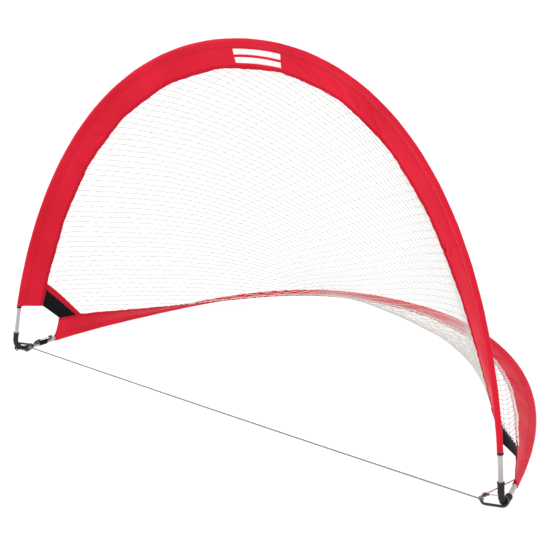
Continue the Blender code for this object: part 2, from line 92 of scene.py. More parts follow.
# Sleeve cloth, measured across the band from the pole's centre.
CLOTH = 0.0008
PLY = 0.0006
LOOP_R = 0.0077
LOOP_END = radians(48)
STITCH_B = 0.0170
HEM_B = 0.0805
TAPE_FROM = 0.0722
TAPE_TO = 0.0813
TAPE_LIFT = 0.0015
TAPE_CLOTH = 0.0007
HEM_PULL = 0.0035
HEM_PULL_SPACING = 0.23
HEM_FREE_FROM = 0.04
HEM_FADE = 0.014
STITCH_FADE = 0.008
BELLY_INSET = 0.0012
CREASE_REACH = 0.12
SKEW_REACH = 0.14
SLEEVE_STEPS = 521

# Stitches, and the plain bars printed on the front band.
STITCH_PITCH = 0.0042
STITCH_LENGTH = 0.0031
STITCH_R = 0.00033
PRINT_SHIFT = 0.02
PRINT_LENGTH = 0.17
PRINT_CLEAR = 0.035
PRINT_BARS = ((0.022, 0.039), (0.047, 0.064))

# Folding: degrees turned about the fold's axis.
FAN_START = 1.0
FAN_SPAN = 82.0
ELBOW_TURN = 97.0

# Corner patches, measured along the band's inner edge from the sleeve's end.
PATCH_FRONT = 0.068
PATCH_REAR = 0.066
BINDING_FRONT = 0.024
BINDING_REAR = 0.0185
REAR_HEM_SKEW = 0.018
TRIM_GAP = 0.0015
PATCH_EDGE = TAPE_TO + 0.0002
PATCH_OUTWARDS = (0.62, -0.25, 0.74)

# Net.
MESH_WIDTH = 0.048
MESH_ANGLE = radians(32)
NET_BOW = 0.48
NET_LINES = 110
NET_PARTS = 4
NET_SHIFT = 0.28
THREAD_R = {1: 0.00096, -1: 0.00068}
KNOT_R = 0.00155
NET_SAG = 0.172
NET_SAG_SPREAD = 0.35
NET_SAG_EASE = (0.20, 0.60)
NET_OVERLAP = 0.007
NET_PATCH_OVERLAP = 0.012
LACE_STEP = 0.021
LACE_LENGTH = 0.013
LACE_SLANT = 0.019
LACE_R = 0.0016
PATCH_LACES = 10
NET_LIFT = 0.0031
NET_RISE = 0.004
NET_PATCH_LIFT = NET_LIFT * 0.7
NET_PATCH_RISE = 0.006
NET_SLACK = 0.0018

# Cords and clips.
CORD_R = 0.0020
CORD_SAG = 0.003
TIE_R = 0.0014
TIE_ANGLE = radians(62)
CORD_LAY = 0.0085
TIE_LAY = 0.006
CORD_STRANDS = 3
CORD_GROOVE = 0.14
CORD_STEP = 0.0012
CORD_SIDES = 12
CLIP_WIRE = 0.0035
STRAP_WIDTH = 0.030
STRAP_LIFT = 0.0011
SPINE_OFFSET = 0.0100
UPPER_CLIP_ANGLE = radians(45)
CLIP_HALF_LENGTH = 0.034
CLIP_HALF_WIDTH = 0.0125
CLIP_REACH = CLIP_HALF_LENGTH - CLIP_HALF_WIDTH
CLIP_NOSE = ((0.0160, 0.0021), (0.0168, 0.0028), (0.0185, 0.0031), (0.0205, 0.0030))  # place, radius
PLATE = 0.0014
# The gate from its hinge to its tip: distance from the pin, radius, and flatness of its section.
CLIP_GATE = (
    *((-0.0022, 0.0012, 0.8), (-0.0014, 0.0023, 0.5), (0.0, 0.0028, 0.42), (0.0022, 0.0026, 0.46)),
    *((0.0040, 0.0019, 0.8), (0.0055, 0.0018, 1.0), (0.0180, 0.0018, 1.0), (0.0290, 0.0018, 1.0)),
    *((0.0300, 0.0022, 1.0), (0.0330, 0.0022, 1.0), (0.0340, 0.0018, 1.0), (0.0346, 0.0010, 1.0)),
)
HITCH_GAP = 0.0034
HITCH_PAST = 0.0074
HITCH_STEPS = 28


# ---- vectors and meshes


def along(points):
    steps = np.linalg.norm(np.diff(points, axis=0), axis=1)
    return np.concatenate([[0.0], np.cumsum(steps)])


def resample(points, places):
    """Points at the given distances along a path."""
    s = along(points)
    return np.stack([np.interp(places, s, points[:, k]) for k in range(3)], 1)


def unit(v):
    return v / np.linalg.norm(v, axis=-1, keepdims=True)


def add_mesh(name, points, faces, mat, uv=None, smooth=True):
    """A mesh object from points and faces; uv gives one pair for each point."""
    mesh = bpy.data.meshes.new(name)
    mesh.from_pydata(np.asarray(points).tolist(), [], faces)
    mesh.update()
    if uv is not None:
        layer = mesh.uv_layers.new(name="cloth")
        corner = np.zeros(len(mesh.loops), np.int32)
        mesh.loops.foreach_get("vertex_index", corner)
        layer.data.foreach_set("uv", np.asarray(uv, np.float32)[corner].ravel())
    if smooth:
        mesh.shade_smooth()
    mesh.materials.append(mat)
    obj = bpy.data.objects.new(name, mesh)
    bpy.context.scene.collection.objects.link(obj)
    return obj


def grid_faces(rows, cols, wrap=False):
    """Quads between equal rows of points. wrap joins each row's last point to its first."""
    r, c = np.meshgrid(np.arange(rows - 1), np.arange(cols if wrap else cols - 1), indexing="ij")
    nxt = (c + 1) % cols
    quads = np.stack([r * cols + c, r * cols + nxt, (r + 1) * cols + nxt, (r + 1) * cols + c], -1)
    return quads.reshape(-1, 4).tolist()


def tube_faces(rings, sides):
    """Quads round a stack of rings, closed at both ends."""
    faces = grid_faces(rings, sides, wrap=True)
    faces.append(list(range(sides))[::-1])
    faces.append([(rings - 1) * sides + k for k in range(sides)])
    return faces


def cloth_sheet(name, points, uv, mat, thickness=CLOTH):
    """A sheet of cloth of even thickness through a grid of points."""
    rows, cols = points.shape[:2]
    obj = add_mesh(name, points.reshape(-1, 3), grid_faces(rows, cols), mat, uv.reshape(-1, 2))
    solid = obj.modifiers.new("thickness", "SOLIDIFY")
    solid.thickness = thickness
    solid.offset = 0
    bpy.context.view_layer.update()
    graph = bpy.context.evaluated_depsgraph_get()
    mesh = bpy.data.meshes.new_from_object(obj.evaluated_get(graph))
    obj.modifiers.clear()
    old, obj.data = obj.data, mesh
    bpy.data.meshes.remove(old)
    return obj


def sweep(points, radii, sides=8, flat=None, close=True):
    """A tube along points, with a radius at each. flat scales the section across the first side
    vector. Returns points and faces; the ends are closed unless close is False."""
    line = np.asarray(points, float)
    radii = np.broadcast_to(np.asarray(radii, float), (len(line),))
    squash = np.ones(len(line)) if flat is None else np.broadcast_to(flat, (len(line),))
    tangent = unit(np.gradient(line, axis=0))
    side = np.array([0.0, 0.0, 1.0])
    if abs(tangent[0] @ side) > 0.9:
        side = np.array([1.0, 0.0, 0.0])
    angles = np.arange(sides) * 2 * pi / sides
    rings = []
    for k in range(len(line)):
        side = side - (side @ tangent[k]) * tangent[k]
        side = side / np.linalg.norm(side)
        other = np.cross(tangent[k], side)
        ring = np.outer(np.cos(angles) * squash[k], side) + np.outer(np.sin(angles), other)
        rings.append(line[k] + radii[k] * ring)
    faces = tube_faces(len(line), sides) if close else grid_faces(len(line), sides, wrap=True)
    return np.concatenate(rings), faces


def join_shapes(shapes):
    """Several (points, faces) as one."""
    points, faces, start = [], [], 0
    for verts, quads in shapes:
        points.append(np.asarray(verts))
        faces += [[i + start for i in face] for face in quads]
        start += len(verts)
    return np.concatenate(points), faces


def in_frame(matrix, points):
    m = np.array(matrix, float)
    return np.asarray(points, float) @ m[:3, :3].T + m[:3, 3]


def lathe(profile, sides, matrix):
    """A turned shape from (radius, height) pairs about Z, closed at both ends, placed by matrix."""
    angles = np.arange(sides) * 2 * pi / sides
    rings = [np.stack([r * np.cos(angles), r * np.sin(angles), np.full(sides, z)], 1) for r, z in profile]
    return in_frame(matrix, np.concatenate(rings)), tube_faces(len(profile), sides)


def wobble(seed, waves):
    """A smooth seeded function of one distance: a sum of sines of (amplitude, wavelength)."""
    chance = random.Random(seed)
    terms = [(a, 2 * pi / w, chance.uniform(0, 2 * pi)) for a, w in waves]
    return lambda s: sum(a * np.sin(k * s + p) for a, k, p in terms)


# ---- materials


def new_material(name, colour, roughness, metallic=0.0, **inputs):
    mat = bpy.data.materials.new(name)
    mat.use_nodes = True
    shader = mat.node_tree.nodes["Principled BSDF"]
    shader.inputs["Base Color"].default_value = (*colour, 1.0)
    shader.inputs["Roughness"].default_value = roughness
    shader.inputs["Metallic"].default_value = metallic
    for key, value in inputs.items():
        shader.inputs[key.replace("_", " ")].default_value = value
    return mat


def node(mat, kind, **settings):
    made = mat.node_tree.nodes.new(kind)
    for key, value in settings.items():
        if key in made.inputs:
            made.inputs[key].default_value = value
        else:
            setattr(made, key, value)
    return made


def link(mat, a, b):
    mat.node_tree.links.new(a, b)


def set_input(mat, name, output):
    link(mat, output, mat.node_tree.nodes["Principled BSDF"].inputs[name])


def noise_height(mat, scale, detail=5.0):
    place = node(mat, "ShaderNodeTexCoord")
    noise = node(mat, "ShaderNodeTexNoise", Scale=scale, Detail=detail)
    link(mat, place.outputs["Object"], noise.inputs["Vector"])
    return noise.outputs["Fac"]


def mottle(mat, low, high, scale):
    """Varies the base colour between two tones with noise."""
    ramp = node(mat, "ShaderNodeValToRGB")
    ramp.color_ramp.elements[0].position = 0.32
    ramp.color_ramp.elements[0].color = (*low, 1.0)
    ramp.color_ramp.elements[1].position = 0.68
    ramp.color_ramp.elements[1].color = (*high, 1.0)
    link(mat, noise_height(mat, scale, 3.0), ramp.inputs["Fac"])
    set_input(mat, "Base Color", ramp.outputs["Color"])


def rough_noise(mat, low, high, scale):
    """Varies the roughness between two values with noise."""
    spread = node(mat, "ShaderNodeMapRange")
    for name, value in (("From Min", 0.3), ("From Max", 0.7), ("To Min", low), ("To Max", high)):
        spread.inputs[name].default_value = value
    link(mat, noise_height(mat, scale, 4.0), spread.inputs["Value"])
    set_input(mat, "Roughness", spread.outputs["Result"])


def bump(mat, height, strength, distance):
    made = node(mat, "ShaderNodeBump", Strength=strength, Distance=distance)
    link(mat, height, made.inputs["Height"])
    set_input(mat, "Normal", made.outputs["Normal"])


def weave_height(mat, yarn):
    """The height of a plain weave whose yarns are the given distance apart."""
    place = node(mat, "ShaderNodeTexCoord")
    scale = pi / (10 * 2 * yarn)
    across = node(mat, "ShaderNodeTexWave", bands_direction="X", Scale=scale)
    down = node(mat, "ShaderNodeTexWave", bands_direction="Y", Scale=scale)
    product = node(mat, "ShaderNodeMath", operation="MULTIPLY")
    for wave in (across, down):
        link(mat, place.outputs["UV"], wave.inputs["Vector"])
    link(mat, across.outputs["Fac"], product.inputs[0])
    link(mat, down.outputs["Fac"], product.inputs[1])
    return product.outputs["Value"]


def woven(name, low, high, yarn, roughness, sheen):
    mat = new_material(
        name, high, roughness, Sheen_Weight=sheen, Sheen_Roughness=0.4, Specular_IOR_Level=0.05
    )
    mottle(mat, low, high, 7.0)
    rough_noise(mat, roughness - 0.05, roughness + 0.1, 18.0)
    bump(mat, weave_height(mat, yarn), 0.35, yarn * 0.3)
    return mat


def varied(name, colour, roughness, tones=None, rough=None, grain=None, **inputs):
    """A material whose tone, roughness and surface vary with noise, each where it is given."""
    mat = new_material(name, colour, roughness, **inputs)
    if tones:
        mottle(mat, *tones)
    if rough:
        rough_noise(mat, *rough)
    if grain:
        scale, detail, strength, distance = grain
        bump(mat, noise_height(mat, scale, detail), strength, distance)
    return mat


def make_materials():
    """Every material by its key. Tones are the noise's two colours and its scale."""
    made = {}
    for key, *cloth in (
        ("red", "red_nylon", (0.56, 0.010, 0.027), (0.65, 0.014, 0.037), 0.0009, 0.36, 0.0),
        ("binding", "red_binding", (0.46, 0.007, 0.021), (0.55, 0.010, 0.029), 0.0013, 0.6, 0.0),
        ("black_cloth", "black_nylon", (0.003, 0.003, 0.004), (0.008, 0.008, 0.010), 0.0012, 0.7, 0.01),
        ("webbing", "black_webbing", (0.005, 0.005, 0.006), (0.012, 0.012, 0.013), 0.0016, 0.75, 0.03),
    ):
        made[key] = woven(*cloth)
    for key, *plain in (
        ("ink", "white_print", (0.84, 0.77, 0.75), 0.5, ((0.80, 0.68, 0.66), (0.88, 0.83, 0.81), 40.0)),
        ("rod", "glass_fibre", (0.70, 0.67, 0.52), 0.4, ((0.64, 0.60, 0.45), (0.74, 0.71, 0.57), 90.0)),
        ("cord", "grey_cord", (0.20, 0.19, 0.185), 0.8, ((0.13, 0.12, 0.12), (0.27, 0.26, 0.25), 240.0)),
        ("tie", "red_cord", (0.26, 0.012, 0.022), 0.75, ((0.18, 0.010, 0.016), (0.34, 0.018, 0.030), 240.0)),
        ("bead", "bead_plastic", (0.62, 0.50, 0.46), 0.4, ((0.56, 0.44, 0.40), (0.66, 0.55, 0.51), 140.0)),
    ):
        made[key] = varied(*plain)
    bump(made["ink"], weave_height(made["ink"], 0.0009), 0.3, 0.0002)
    grain = (900.0, 5.0, 0.4, 0.0002)
    made["stitch"] = varied("red_thread", (0.42, 0.008, 0.020), 0.6, grain=grain, Specular_IOR_Level=0.25)
    # Net thread: white nylon, its colour greyed with painted shade, the grey it shows against the pale
    # stage.
    tones = ((0.52, 0.50, 0.47), (0.63, 0.61, 0.58), 60.0)
    grain = (1400.0, 2.0, 0.5, 0.0003)
    made["thread"] = varied(
        "white_thread_painted_shade", (0.58, 0.56, 0.53), 0.8, tones, grain=grain, Specular_IOR_Level=0.2
    )
    tones = ((0.78, 0.77, 0.75), (0.88, 0.87, 0.85), 60.0)
    made["lacing"] = varied("white_lacing", (0.84, 0.83, 0.81), 0.8, tones, Specular_IOR_Level=0.2)
    tones, rough = ((0.36, 0.32, 0.31), (0.45, 0.41, 0.40), 24.0), (0.26, 0.44, 60.0)
    made["pole"] = varied(
        "pole_sheath", (0.42, 0.38, 0.37), 0.34, tones, rough, Coat_Weight=0.2, Coat_Roughness=0.2
    )
    tones, rough = ((0.005, 0.004, 0.004), (0.015, 0.012, 0.012), 45.0), (0.42, 0.7, 80.0)
    grain = (700.0, 5.0, 0.25, 0.0003)
    made["rubber"] = varied(
        "rubber", (0.009, 0.008, 0.008), 0.5, tones, rough, grain, Specular_IOR_Level=0.3
    )
    tones, rough = ((0.004, 0.004, 0.005), (0.014, 0.013, 0.013), 120.0), (0.22, 0.45, 200.0)
    made["black_metal"] = varied(
        "black_coated_wire", (0.008, 0.008, 0.009), 0.34, tones, rough, Coat_Weight=0.15
    )
    tones, rough = ((0.50, 0.49, 0.48), (0.68, 0.67, 0.66), 150.0), (0.18, 0.4, 260.0)
    made["steel"] = varied("bright_steel", (0.62, 0.61, 0.60), 0.28, tones, rough, metallic=1.0)
    lit = {"Specular_IOR_Level": 0.1, "Emission_Strength": 0.95}
    made["floor"] = varied("floor", (0.15, 0.15, 0.15), 0.95, **lit)
    return made


# ---- arches


def arch_outline(t, height, fullness, pinch):
    """Half width and height of a rounded arch, a super-ellipse slightly pinched at mid height."""
    c, s = np.cos(t), np.sin(t)
    rise = np.abs(s) ** (2 / fullness)
    x = -MOUTH_WIDTH / 2 * np.sign(c) * np.abs(c) ** (2 / fullness)
    return x * (1 - pinch * 4 * rise * (1 - rise)), height * rise, rise


def front_curve(t):
    x, h, rise = arch_outline(t, FRONT_HEIGHT, FRONT_FULLNESS, FRONT_PINCH)
    y = h * sin(FRONT_LEAN) + FRONT_CREST_BACK * rise**2
    return np.stack([x, y, h * cos(FRONT_LEAN) + POLE_Z * (1 - rise)], 1)


def rear_curve(t):
    x, h, rise = arch_outline(t, REAR_DEPTH, REAR_FULLNESS, REAR_PINCH)
    lift = np.clip((rise - REAR_LIFT_START) / (1 - REAR_LIFT_START), 0, 1) ** 2
    return np.stack([x, h, POLE_Z + REAR_LIFT * lift], 1)


def front_tilt(drop):
    """The band's tilt in degrees, drop being 0 at the arch's crest and 1 at its feet."""
    return 24 - 26 * drop + 90 * drop**2


def rear_tilt(drop):
    return 7 + 10 * drop + 94 * drop**2


def into_frame(points):
    """From y = 0 at the corners to the shared frame, whose origin is under the middle of the goal."""
    return np.asarray(points, float) - np.array([0.0, FOOT_CENTRE_Y, 0.0])


class Arch:
    """One sleeved pole: its centre line, and the directions across its band and off its face."""

    def __init__(self, curve, trim_axis, sleeve_from, side_normal, tilt):
        dense = curve(np.linspace(0, pi, ARCH_SAMPLES))
        s = along(dense)
        half = len(dense) // 2
        first, last = np.interp(sleeve_from, dense[:half, trim_axis], s[:half])
        self.length = s[-1] - first - last
        self.places = np.linspace(0, self.length, ARCH_PLACES)
        line = resample(dense, first + self.places)
        ahead, behind = (resample(dense, first + self.places + step) for step in (ARCH_STEP, -ARCH_STEP))
        tangent = unit(ahead - behind)
        inward = unit(np.cross(tangent, side_normal))
        if np.dot(inward[0], line[len(line) // 2] - line[0]) < 0:
            inward = -inward
        side = unit(np.cross(inward, tangent))
        side *= np.sign(side @ np.array(side_normal))[:, None]
        rise = line[:, trim_axis] / line[:, trim_axis].max()
        angle = np.radians(tilt(1 - rise))[:, None]
        self.line = into_frame(line)
        self.band = np.cos(angle) * inward + np.sin(angle) * side
        self.face = np.cos(angle) * side - np.sin(angle) * inward

    def at(self, values, s):
        s = np.asarray(s, float)
        flat = [np.interp(s.ravel(), self.places, values[:, k]) for k in range(3)]
        return np.stack(flat, -1).reshape(*s.shape, 3)

    def point(self, s, b, f):
        b, f = np.asarray(b, float)[..., None], np.asarray(f, float)[..., None]
        return self.at(self.line, s) + b * self.at(self.band, s) + f * self.at(self.face, s)


class Cloth:
    """How one sleeve's cloth lies: puckers along its seams, creases, and a wavy inner edge."""

    def __init__(self, arch, seed, zones, skew=0.0, smooth_at=None):
        self.arch = arch
        self.skew = skew
        chance = random.Random(seed)
        self.stitch_pucker = wobble(seed + 1, [(0.00022, 0.011), (0.00025, 0.017), (0.00018, 0.029)])
        self.hem_pucker = wobble(seed + 2, [(0.00035, 0.019), (0.00040, 0.031), (0.00030, 0.047)])
        self.hem_wave = wobble(seed + 3, [(0.00035, 0.045), (0.00050, 0.083), (0.00040, 0.21)])
        self.belly = wobble(seed + 4, [(0.0009, 0.33), (0.0007, 0.19)])
        self.hem_phase = chance.uniform(0, pi)
        self.creases = []
        for centre, spread, count, lean in zones:
            for _ in range(count):
                place = chance.gauss(centre, spread) * arch.length
                where = (place, chance.uniform(0.030, 0.068), radians(chance.gauss(lean, 9)))
                size = (chance.uniform(0.016, 0.034), chance.uniform(0.0026, 0.0046))
                height = chance.uniform(0.0022, 0.0044) * chance.choice((1, 1, -1))
                if smooth_at is None or abs(place - smooth_at) > PRINT_LENGTH / 2 + PRINT_CLEAR:
                    self.creases.append((*where, *size, height))

    def relief(self, s, b):
        """How far the cloth stands off its flat face."""
        s, b = np.broadcast_arrays(np.asarray(s, float), np.asarray(b, float))
        free = np.clip((b - STITCH_B) / 0.012, 0, 1)
        past_seam = np.clip((b - STITCH_B + 0.002) / 0.004, 0, 1)
        out = self.stitch_pucker(s) * np.exp(-np.abs(b - STITCH_B - 0.003) / STITCH_FADE) * past_seam
        out = out + self.hem_pucker(s) * np.exp(-np.abs(HEM_B - b) / HEM_FADE)
        across = np.clip((b - STITCH_B) / (HEM_B - STITCH_B), 0, 1)
        out = out + (self.belly(s) - BELLY_INSET) * np.sin(pi * across)
        for cs, cb, lean, long, wide, high in self.creases:
            near = np.abs(s - cs) < CREASE_REACH
            if not near.any():
                continue
            p = (s - cs) * cos(lean) + (b - cb) * sin(lean)
            q = -(s - cs) * sin(lean) + (b - cb) * cos(lean)
            out = out + np.where(near, high * np.exp(-((p / long) ** 2) - (q / wide) ** 2), 0) * free
        return out

    def point(self, s, b, f):
        s, b, f = np.broadcast_arrays(*(np.asarray(v, float) for v in (s, b, f)))
        share = np.clip((b - HEM_FREE_FROM) / (HEM_B - HEM_FREE_FROM), 0, 1)
        s = s + self.skew * b / HEM_B * np.clip(1 - s / SKEW_REACH, 0, 1) ** 2
        pull = HEM_PULL * np.abs(np.sin(pi * s / HEM_PULL_SPACING + self.hem_phase))
        wave = (self.hem_wave(s) + pull - HEM_PULL / 2) * share**2
        return self.arch.point(s, b + wave, f + self.relief(s, b))


# ---- fold shares of soft pieces


def fold_weights(points):
    """Share of the fold that each point follows: it opens like a fan about the fold's axis."""
    phi = np.degrees(np.arctan2(points[:, 2] - FOLD[2], points[:, 1] - FOLD[1]))
    phi = np.where(phi < -90, phi + 360, phi)
    return np.clip((phi - FAN_START) / FAN_SPAN, 0, 1)


def elbow_weights(points):
    """The same round an elbow's bend, from its rear socket to its front one."""
    psi = np.degrees(np.arctan2(points[:, 2] - FOLD[2], points[:, 1] - FOLD[1]))
    psi = np.where(psi > 0, psi, psi + 360)
    turned = 270 - psi
    turned = np.where(points[:, 1] - FOLD[1] > np.abs(points[:, 2] - FOLD[2]), -1, turned)
    front = (points[:, 2] > FOLD[2]) & (points[:, 1] < FOLD[1] + 0.03)
    turned = np.where(front, np.maximum(turned, ELBOW_TURN), turned)
    return np.clip(turned / ELBOW_TURN, 0, 1)


def fold(piece, weights=fold_weights):
    """Bakes a soft piece's transform and works out, with these weights, the share of the fold each of its
    points would follow.
    """
    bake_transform(piece)
    points = np.array([v.co for v in piece.data.vertices], float)
    values = weights(points).astype(np.float32)


# ---- sleeves


def sleeve_section():
    """The cloth's path across a sleeve as (band, face): one ply, the loop round the pole, the other."""
    near = list(np.concatenate([[0.0790], np.linspace(0.0765, 0.024, 17), [0.0205, STITCH_B]]))
    front = [(b, PLY) for b in near]
    loop = []
    for k in range(15):
        angle = LOOP_END + (2 * pi - 2 * LOOP_END) * k / 14
        loop.append((LOOP_R * cos(angle), LOOP_R * sin(angle)))
    lead = [(0.0125, 0.0031), (0.0085, 0.0050)]
    back = [(b, -f) for b, f in reversed(lead)]
    return front + lead + loop + back + [(b, -f) for b, f in reversed(front)]


def band_cloth(name, node_name, cloth, section, s, points, mat, thickness):
    """A cloth that runs along a band, returned with its flat width and the band's length."""
    across = along(np.array([(b, f, 0) for b, f in section]))
    uv = np.stack([np.stack([s, np.full_like(s, a)], -1) for a in across])
    piece = cloth_sheet(name, points, uv, MATERIALS[mat], thickness)
    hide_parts(node_name)
    fold(piece)
    return piece, (float(across[-1]), cloth.arch.length)


def build_sleeve(name, cloth, node_name):
    section = sleeve_section()
    s = np.linspace(0, cloth.arch.length, SLEEVE_STEPS)
    loop_wave = wobble(91, [(0.00012, 0.013), (0.00015, 0.037), (0.0002, 0.11)])
    rows = []
    for k, (b, f) in enumerate(section):
        grow = 1 + loop_wave(s + 0.2 * k) / LOOP_R if b < 0.012 else 1.0
        rows.append(cloth.point(s, b * grow, f * grow))
    sleeve, flat = band_cloth(name, node_name, cloth, section, s, np.stack(rows), "red", CLOTH)


def build_tape(name, cloth, node_name):
    """The binding folded over the band's inner edge, where the net is sewn in."""
    section = [(TAPE_FROM, TAPE_LIFT), (TAPE_FROM + 0.003, TAPE_LIFT + 0.0001), (0.0785, TAPE_LIFT)]
    for k in range(5):
        angle = pi / 2 - pi * k / 4
        section.append((0.0798 + TAPE_LIFT * cos(angle), TAPE_LIFT * sin(angle)))
    section += [(b, -f) for b, f in reversed(section[:3])]
    s = np.linspace(0.0004, cloth.arch.length - 0.0004, SLEEVE_STEPS)
    points = np.stack([cloth.point(s, b, f) for b, f in section])
    tape, flat = band_cloth(name, node_name, cloth, section, s, points, "binding", TAPE_CLOTH)


def stitch_row(cloth, b, f, first=0.003):
    """Stitches along a sleeve at one distance from the pole, as separate short threads."""
    shapes = []
    sign = 1 if f > 0 else -1
    for s0 in np.arange(first, cloth.arch.length - STITCH_LENGTH, STITCH_PITCH):
        s = s0 + STITCH_LENGTH * np.array([0, 0.2, 0.5, 0.8, 1.0])
        lift = f + sign * STITCH_R * np.array([-1.4, 0.35, 0.6, 0.35, -1.4])
        shapes.append(sweep(cloth.point(s, np.full(5, b), lift), STITCH_R, sides=5))
    return shapes


def build_stitching(name, cloth):
    shapes = []
    for side in (1, -1):
        shapes += stitch_row(cloth, STITCH_B + 0.0008, side * (PLY + CLOTH / 2))
        shapes += stitch_row(cloth, STITCH_B + 0.0048, side * (PLY + CLOTH / 2), first=0.005)
        shapes += stitch_row(cloth, TAPE_FROM + 0.0022, side * (TAPE_LIFT + 0.0004), first=0.004)
    points, faces = join_shapes(shapes)
    stitches = add_mesh(name, points, faces, MATERIALS["stitch"])
    fold(stitches)


def build_print(cloth):
    """Two plain bars printed on the front band near its top."""
    middle = cloth.arch.length / 2 + PRINT_SHIFT
    s = np.linspace(middle - PRINT_LENGTH / 2, middle + PRINT_LENGTH / 2, 49)
    for k, (low, high) in enumerate(PRINT_BARS):
        b = np.linspace(low, high, 7)
        grid_s, grid_b = np.meshgrid(s, b)
        points = cloth.point(grid_s, grid_b, np.full_like(grid_s, -(PLY + CLOTH / 2 + 0.0002)))
        uv = np.stack([grid_s, grid_b], -1)
        bar = cloth_sheet(f"print_bar_{k + 1}", points, uv, MATERIALS["ink"], 0.00022)
        fold(bar)


# ---- net


class BandEdge:
    """A band's inner edge between the corner patches, where the net is sewn in."""

    def __init__(self, cloth, skip):
        self.cloth = cloth
        self.skip = skip
        self.run = along(cloth.point(cloth.arch.places, TAPE_TO, 0.0))
        self.length = self.run[-1] - 2 * skip

    def point(self, u, inset=0.0, lift=0.0):
        """The point at share u of the edge, or inset onto the band and lifted off it."""
        s = np.interp(self.skip + u * self.length, self.run, self.cloth.arch.places)
        return self.cloth.point(s, TAPE_TO - inset, lift)


class NetSurface:
    """The net's hanging surface. u runs from the left patch to the right one, s from the rear
    band's edge to the front band's, and both go a little past their edges."""

    def __init__(self):
        self.front = BandEdge(front_cloth, PATCH_FRONT + BINDING_FRONT + 2 * TRIM_GAP)
        self.rear = BandEdge(rear_cloth, PATCH_REAR + BINDING_REAR + 2 * TRIM_GAP)
        self.u = np.linspace(0, 1, 321)
        self.s = np.linspace(0, 1, 81)
        grid = self.place(self.u[:, None] + 0 * self.s, self.s[None, :] + 0 * self.u[:, None])
        middle = grid[:, len(self.s) // 2]
        self.x = along(middle)
        steps = np.linalg.norm(np.diff(grid, axis=1), axis=2)
        y = np.concatenate([np.zeros((len(self.u), 1)), np.cumsum(steps, axis=1)], axis=1)
        self.depth = y[:, -1]
        even = np.linspace(0, 1, 121)
        self.shares = np.array([np.interp(even * row[-1], row, self.s) for row in y])
        self.x_rate = self.x[1] / self.u[1]

    def place(self, u, s):
        front, rear = self.front.point(u), self.rear.point(u)
        start, full = NET_SAG_EASE
        ease = np.clip((u - start) / (full - start), 0, 1)
        spread = np.sin(np.clip(u, 0, 1) * pi) ** NET_SAG_SPREAD * ease**2 * (3 - 2 * ease)
        point = rear + (front - rear) * s[..., None]
        point[..., 2] -= NET_SAG * spread * 27 / 4 * s * (1 - s) ** 2
        return point

    def flat(self, x, y):
        """Where points of the flat cloth hang: x along the goal, y across it from its middle."""
        end = self.x[-1]
        u = np.interp(x, self.x, self.u)
        u = np.where(x < 0, x / self.x_rate, u)
        u = np.where(x > end, 1 + (x - end) / self.x_rate, u)
        half = self.half_depth(x)
        point = self.place(u, self.share(u, np.clip(y / half, -1, 1)))
        lift = NET_PATCH_LIFT * np.clip(np.maximum(-x, x - end) / NET_PATCH_RISE, 0, 1)
        point += self.normal(u, np.full_like(u, 0.5)) * lift[..., None]
        rises = NET_LIFT * np.clip((np.abs(y) - half) / NET_RISE, 0, 1)
        for edge, past in ((self.front, y - half), (self.rear, -half - y)):
            onto = edge.point(u, np.maximum(past, 0), rises)
            point = np.where((past > 0)[..., None], onto, point)
        return point

    def hang(self, x, y):
        """The same with small shifts in the cloth's own plane, so that no thread is ruled straight."""
        a = np.sin(61 * x + 23 * y + 0.4) + np.sin(-37 * x + 88 * y + 1.9) + 0.7 * np.sin(143 * x + 71 * y)
        b = np.sin(53 * x - 49 * y + 2.2) + np.sin(29 * x + 97 * y + 0.7) + 0.7 * np.sin(-119 * x + 131 * y)
        return self.flat(x + NET_SLACK * a / 2, y + NET_SLACK * b / 2)

    def share(self, u, across):
        """The share s of the way from rear to front, for a place -1..1 across the flat cloth."""
        column = np.clip(u, 0, 1) * (len(self.u) - 1)
        low = np.clip(column.astype(int), 0, len(self.u) - 2)
        row = (across + 1) / 2 * (self.shares.shape[1] - 1)
        left = np.clip(row.astype(int), 0, self.shares.shape[1] - 2)
        p, q = column - low, row - left
        near = self.shares[low, left] * (1 - q) + self.shares[low, left + 1] * q
        far = self.shares[low + 1, left] * (1 - q) + self.shares[low + 1, left + 1] * q
        return near * (1 - p) + far * p

    def normal(self, u, s):
        step = 0.002
        du = self.place(u + step, s) - self.place(u - step, s)
        ds = self.place(u, np.clip(s + step, 0, 1)) - self.place(u, np.clip(s - step, 0, 1))
        made = unit(np.cross(du, ds))
        return made * np.where(made[..., 2:3] < 0, -1, 1)

    def half_depth(self, x):
        return np.interp(x, self.x, self.depth) / 2


def net_line(family, index, length):
    """Sample places of one thread, in the flat cloth, with the samples that fall on its knots.
    The two families cross at twice the mesh's angle, and a bow along the goal turns both of them
    with their distance from its middle."""
    count = int(2.4 * length / MESH_WIDTH)
    other = np.arange(-count * NET_PARTS, count * NET_PARTS + 1) * MESH_WIDTH / NET_PARTS
    own = index * MESH_WIDTH
    x = (own + other) / 2
    y = family * (own - other) * tan(MESH_ANGLE) / 2 + NET_BOW * x**2 / length
    return x + length / 2, y - NET_SHIFT, np.arange(len(x)) % NET_PARTS == 0


